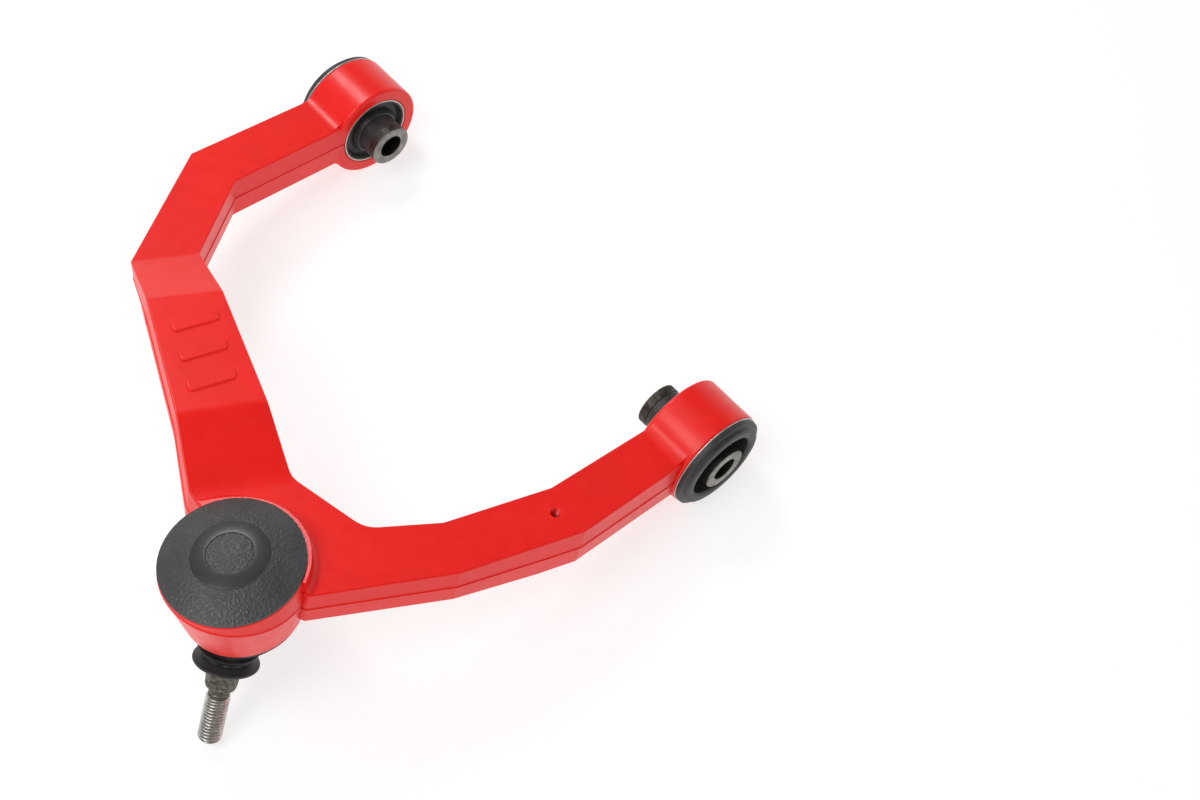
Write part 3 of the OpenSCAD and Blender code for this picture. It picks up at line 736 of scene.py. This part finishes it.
def ball_stud():
    """Ball, neck, taper and a rolled thread, all one forged and turned piece."""
    start_t, end_t = STUD_LEN - THREAD_LEN, STUD_LEN - THREAD_LEN - 3.0
    ball = [(BALL_R * math.sin(math.radians(a)), -BALL_R * math.cos(math.radians(a)))
            for a in range(0, 151, 6)]
    neck_r, relief_r, tip = 7.0, THREAD_R - 1.25, 1.6
    taper_r, taper_t, taper_slope = 8.5, 29.0, 0.0225
    neck = [(neck_r, BALL_R + 0.1), (neck_r, 25.4), (neck_r + 0.4, 26.6), (taper_r, taper_t),
            (taper_r - 0.05, taper_t + 2)]
    shank = [(taper_r - taper_slope * (t - taper_t), t) for t in range(33, 49, 2)]
    foot = [(taper_r - 0.65, end_t - 2.0), (taper_r - 1.0, end_t - 0.8), (6.7, end_t),
            (relief_r + 0.4, end_t + 0.9), (relief_r, start_t - 0.8), (relief_r, start_t - 0.3)]
    rows = 10 * int(THREAD_LEN / PITCH)
    thread = [(THREAD_R, start_t + (THREAD_LEN - 0.6) * k / rows) for k in range(rows + 1)]
    end = [(THREAD_R - tip - 0.6, STUD_LEN - 0.1), (0, STUD_LEN)]
    bm = spun(ball + neck + shank + foot + thread + end, 72, closed=False)
    depth = 0.61 * PITCH
    last_t = STUD_LEN - 0.5
    for vert in bm.verts:
        t, r = vert.co.z, Vector((vert.co.x, vert.co.y)).length
        if not start_t - 0.01 <= t <= last_t or r < 1:
            continue
        phase = (t / PITCH - math.atan2(vert.co.y, vert.co.x) / math.tau) % 1.0
        tooth = min(1.0, max(0.0, abs(2 * phase - 1) * 1.3 - 0.12))  # flat crests and roots
        grow = min(1.0, (t - start_t) / PITCH)  # the thread runs in over its first turn
        chamfer = max(0.5, min(THREAD_R, THREAD_R - tip + last_t - t))
        cut = THREAD_R - depth * (1 - tooth)
        scale = min(relief_r + (cut - relief_r) * grow, chamfer) / r
        vert.co.x *= scale
        vert.co.y *= scale
    # Faces down in the thread's roots keep the darker shank steel as painted shade in the grooves; the
    # crests take the bright thread steel.
    for face in bm.faces:
        centre = face.calc_center_median().z
        radius = max(Vector((v.co.x, v.co.y)).length for v in face.verts)
        face.material_index = 0 if centre < start_t - 1 or radius < THREAD_R - 0.6 * depth else 1
    stud = as_object(bm, "threaded_ball_stud", [SHANK_AND_ROOT_SHADE, THREAD], STUD, 60)
    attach(stud, "stud")
    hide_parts("ball_stud")


def boot():
    """The boot, drawn hanging straight and measured down from the ball. Its rings are turned
    from the joint's axis at the cuff to the stud's at the waist."""
    cuff_end, lean_end = BALL_DEPTH - SNOUT_Z, 30.0
    cuff_in, cuff_out, grip_r, waist_r = 24.3, 26.3, 9.3, 10.9
    # Down the outside over the cuff and the folds to the waist and its lip, and up the inside.
    corners = [
        (cuff_in, cuff_end - 5.2, 0.3), (cuff_out, cuff_end - 5.2, 0.6), (cuff_out, cuff_end - 0.6, 0.6),
        (25.4, cuff_end + 0.8, 0.8), (25.0, cuff_end + 3.6, 1.6), (22.3, cuff_end + 5.2, 1.2),
        (22.5, cuff_end + 7.6, 1.6), (18.4, cuff_end + 10.4, 2.0), (14.2, 28.6, 1.2),
        (13.6, 29.0, 0.4), (14.9, 29.5, 0.4), (15.0, 30.6, 0.4), (12.6, 31.4, 0.5),
        (waist_r, 32.2, 0.5), (waist_r, 34.6, 0.5), (12.4, 35.2, 0.6), (16.2, 36.7, 0.5),
        (16.3, 37.8, 0.4), (15.5, 38.1, 0.3), (10.2, 36.6, 0.6), (grip_r, 36.5, 0.3),
        (grip_r, 30.6, 0.4), (11.3, 29.0, 0.8), (16.6, cuff_end + 9.4, 1.5),
        (20.4, cuff_end + 7.0, 1.2), (20.2, cuff_end + 4.8, 1.0), (23.2, cuff_end + 2.8, 1.0),
        (cuff_in, cuff_end + 0.4, 0.2)]
    bm = spun(rounded(corners, 8), 128)
    lean = (-joint_dir).angle(stud_dir)
    for vert in bm.verts:
        share = min(1.0, max(0.0, (vert.co.z - cuff_end) / (lean_end - cuff_end)))
        turn = Matrix.Rotation(-lean * share ** 1.5, 3, "Y")
        vert.co = turn @ Vector((vert.co.x, vert.co.y, -vert.co.z))
    bmesh.ops.recalc_face_normals(bm, faces=bm.faces)
    piece = weighted(as_object(bm, "rubber_dust_boot", [RUBBER], BALL))
    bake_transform(piece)
    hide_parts("dust_boot")


def paint_hidden_pieces():
    """The carried-over pieces inside the joint get their finishes."""
    finishes = {
        "cap_seal": RUBBER, "retaining_ring": SPRING, "cover_plate": SHELL, "preload_spring": SPRING,
        "upper_seat": SEAT, "lower_seat": SEAT, "boot_upper_ring": SPRING, "boot_lower_ring": SPRING}
    for node, material in finishes.items():
        mesh = frame["nodes"][node].data
        mesh.materials.clear()
        mesh.materials.append(material)


# ---------------------------------------------------------------- stage
def floor():
    """White card that glows a little, so that only a soft shadow shows under the arm."""
    material, tree, place = start("pale_studio_floor")
    haze = add(tree, "ShaderNodeTexNoise", {"Vector": place, "Scale": per_mm(333), "Detail": 2.0})
    colour = add(tree, "ShaderNodeValToRGB", {"Fac": haze},
                 stops=[(0.3, linear("#9A9A9A")), (0.7, linear("#9C9C9C"))])
    surface = add(tree, "ShaderNodeBsdfPrincipled", {
        "Base Color": colour, "Roughness": 0.7, "Emission Color": linear("#FFFFFF"),
        "Emission Strength": 0.72})
    add(tree, "ShaderNodeOutputMaterial", {"Surface": surface})
    bm = bmesh.new()
    bmesh.ops.create_grid(bm, x_segments=2, y_segments=2, size=6.0)
    bm.transform(Matrix.Translation((0, 0, cad_box[0].z)))
    sheet = as_object(bm, "studio_floor", [material])


def softbox(name, place, aim, size, power):
    """A round white softbox, size metres across, aimed at a point."""
    data = bpy.data.lights.new(name, "AREA")
    data.shape, data.size, data.energy = "DISK", size, power
    light = bpy.data.objects.new(name, data)
    light.location = place
    light.rotation_euler = (Vector(aim) - Vector(place)).to_track_quat("-Z", "Y").to_euler()
    bpy.context.scene.collection.objects.link(light)


def studio():
    """A soft white room, brightest low down, with one softbox overhead and one to the side."""
    world = bpy.data.worlds.new("soft_white_room")
    world.use_nodes = True
    sky = world.node_tree
    sky.nodes.clear()
    towards = add(sky, "ShaderNodeTexCoord").outputs["Generated"]
    height = add(sky, "ShaderNodeSeparateXYZ", {"Vector": towards}).outputs["Z"]
    colour = add(sky, "ShaderNodeValToRGB", {"Fac": height}, stops=[(0.15, grey(1.0)), (0.6, grey(0.33))])
    back = add(sky, "ShaderNodeBackground", {"Color": colour, "Strength": 0.9})
    add(sky, "ShaderNodeOutputWorld", {"Surface": back})
    bpy.context.scene.world = world
    middle = (0.14, 0.12, 0.02)
    softbox("overhead_softbox", (0.2, 0.9, 1.5), middle, 1.0, 13)
    softbox("key_softbox", (0.86, -0.12, 1.07), middle, 0.4, 5)
    bpy.context.scene.view_settings.view_transform = "Standard"


def camera():
    """A slightly long lens, about 0.9 m away, that looks down on the arm past the ball joint."""
    data = bpy.data.cameras.new("product_camera")
    data.sensor_width, data.lens = 36, 53.32
    view = bpy.data.objects.new("product_camera", data)
    view.location = (-0.29381, 0.38114, 0.81295)
    view.rotation_euler = [math.radians(a) for a in (31.2357, -2.8746, -131.7779)]
    bpy.context.scene.collection.objects.link(view)
    bpy.context.scene.camera = view


camera()
studio()
floor()
finish_forging()
bushing("short", AT_SHORT, "short_pivot")
bushing("long", AT_LONG, "long_pivot")
dust_cap()
ball_stud()
boot()
paint_hidden_pieces()
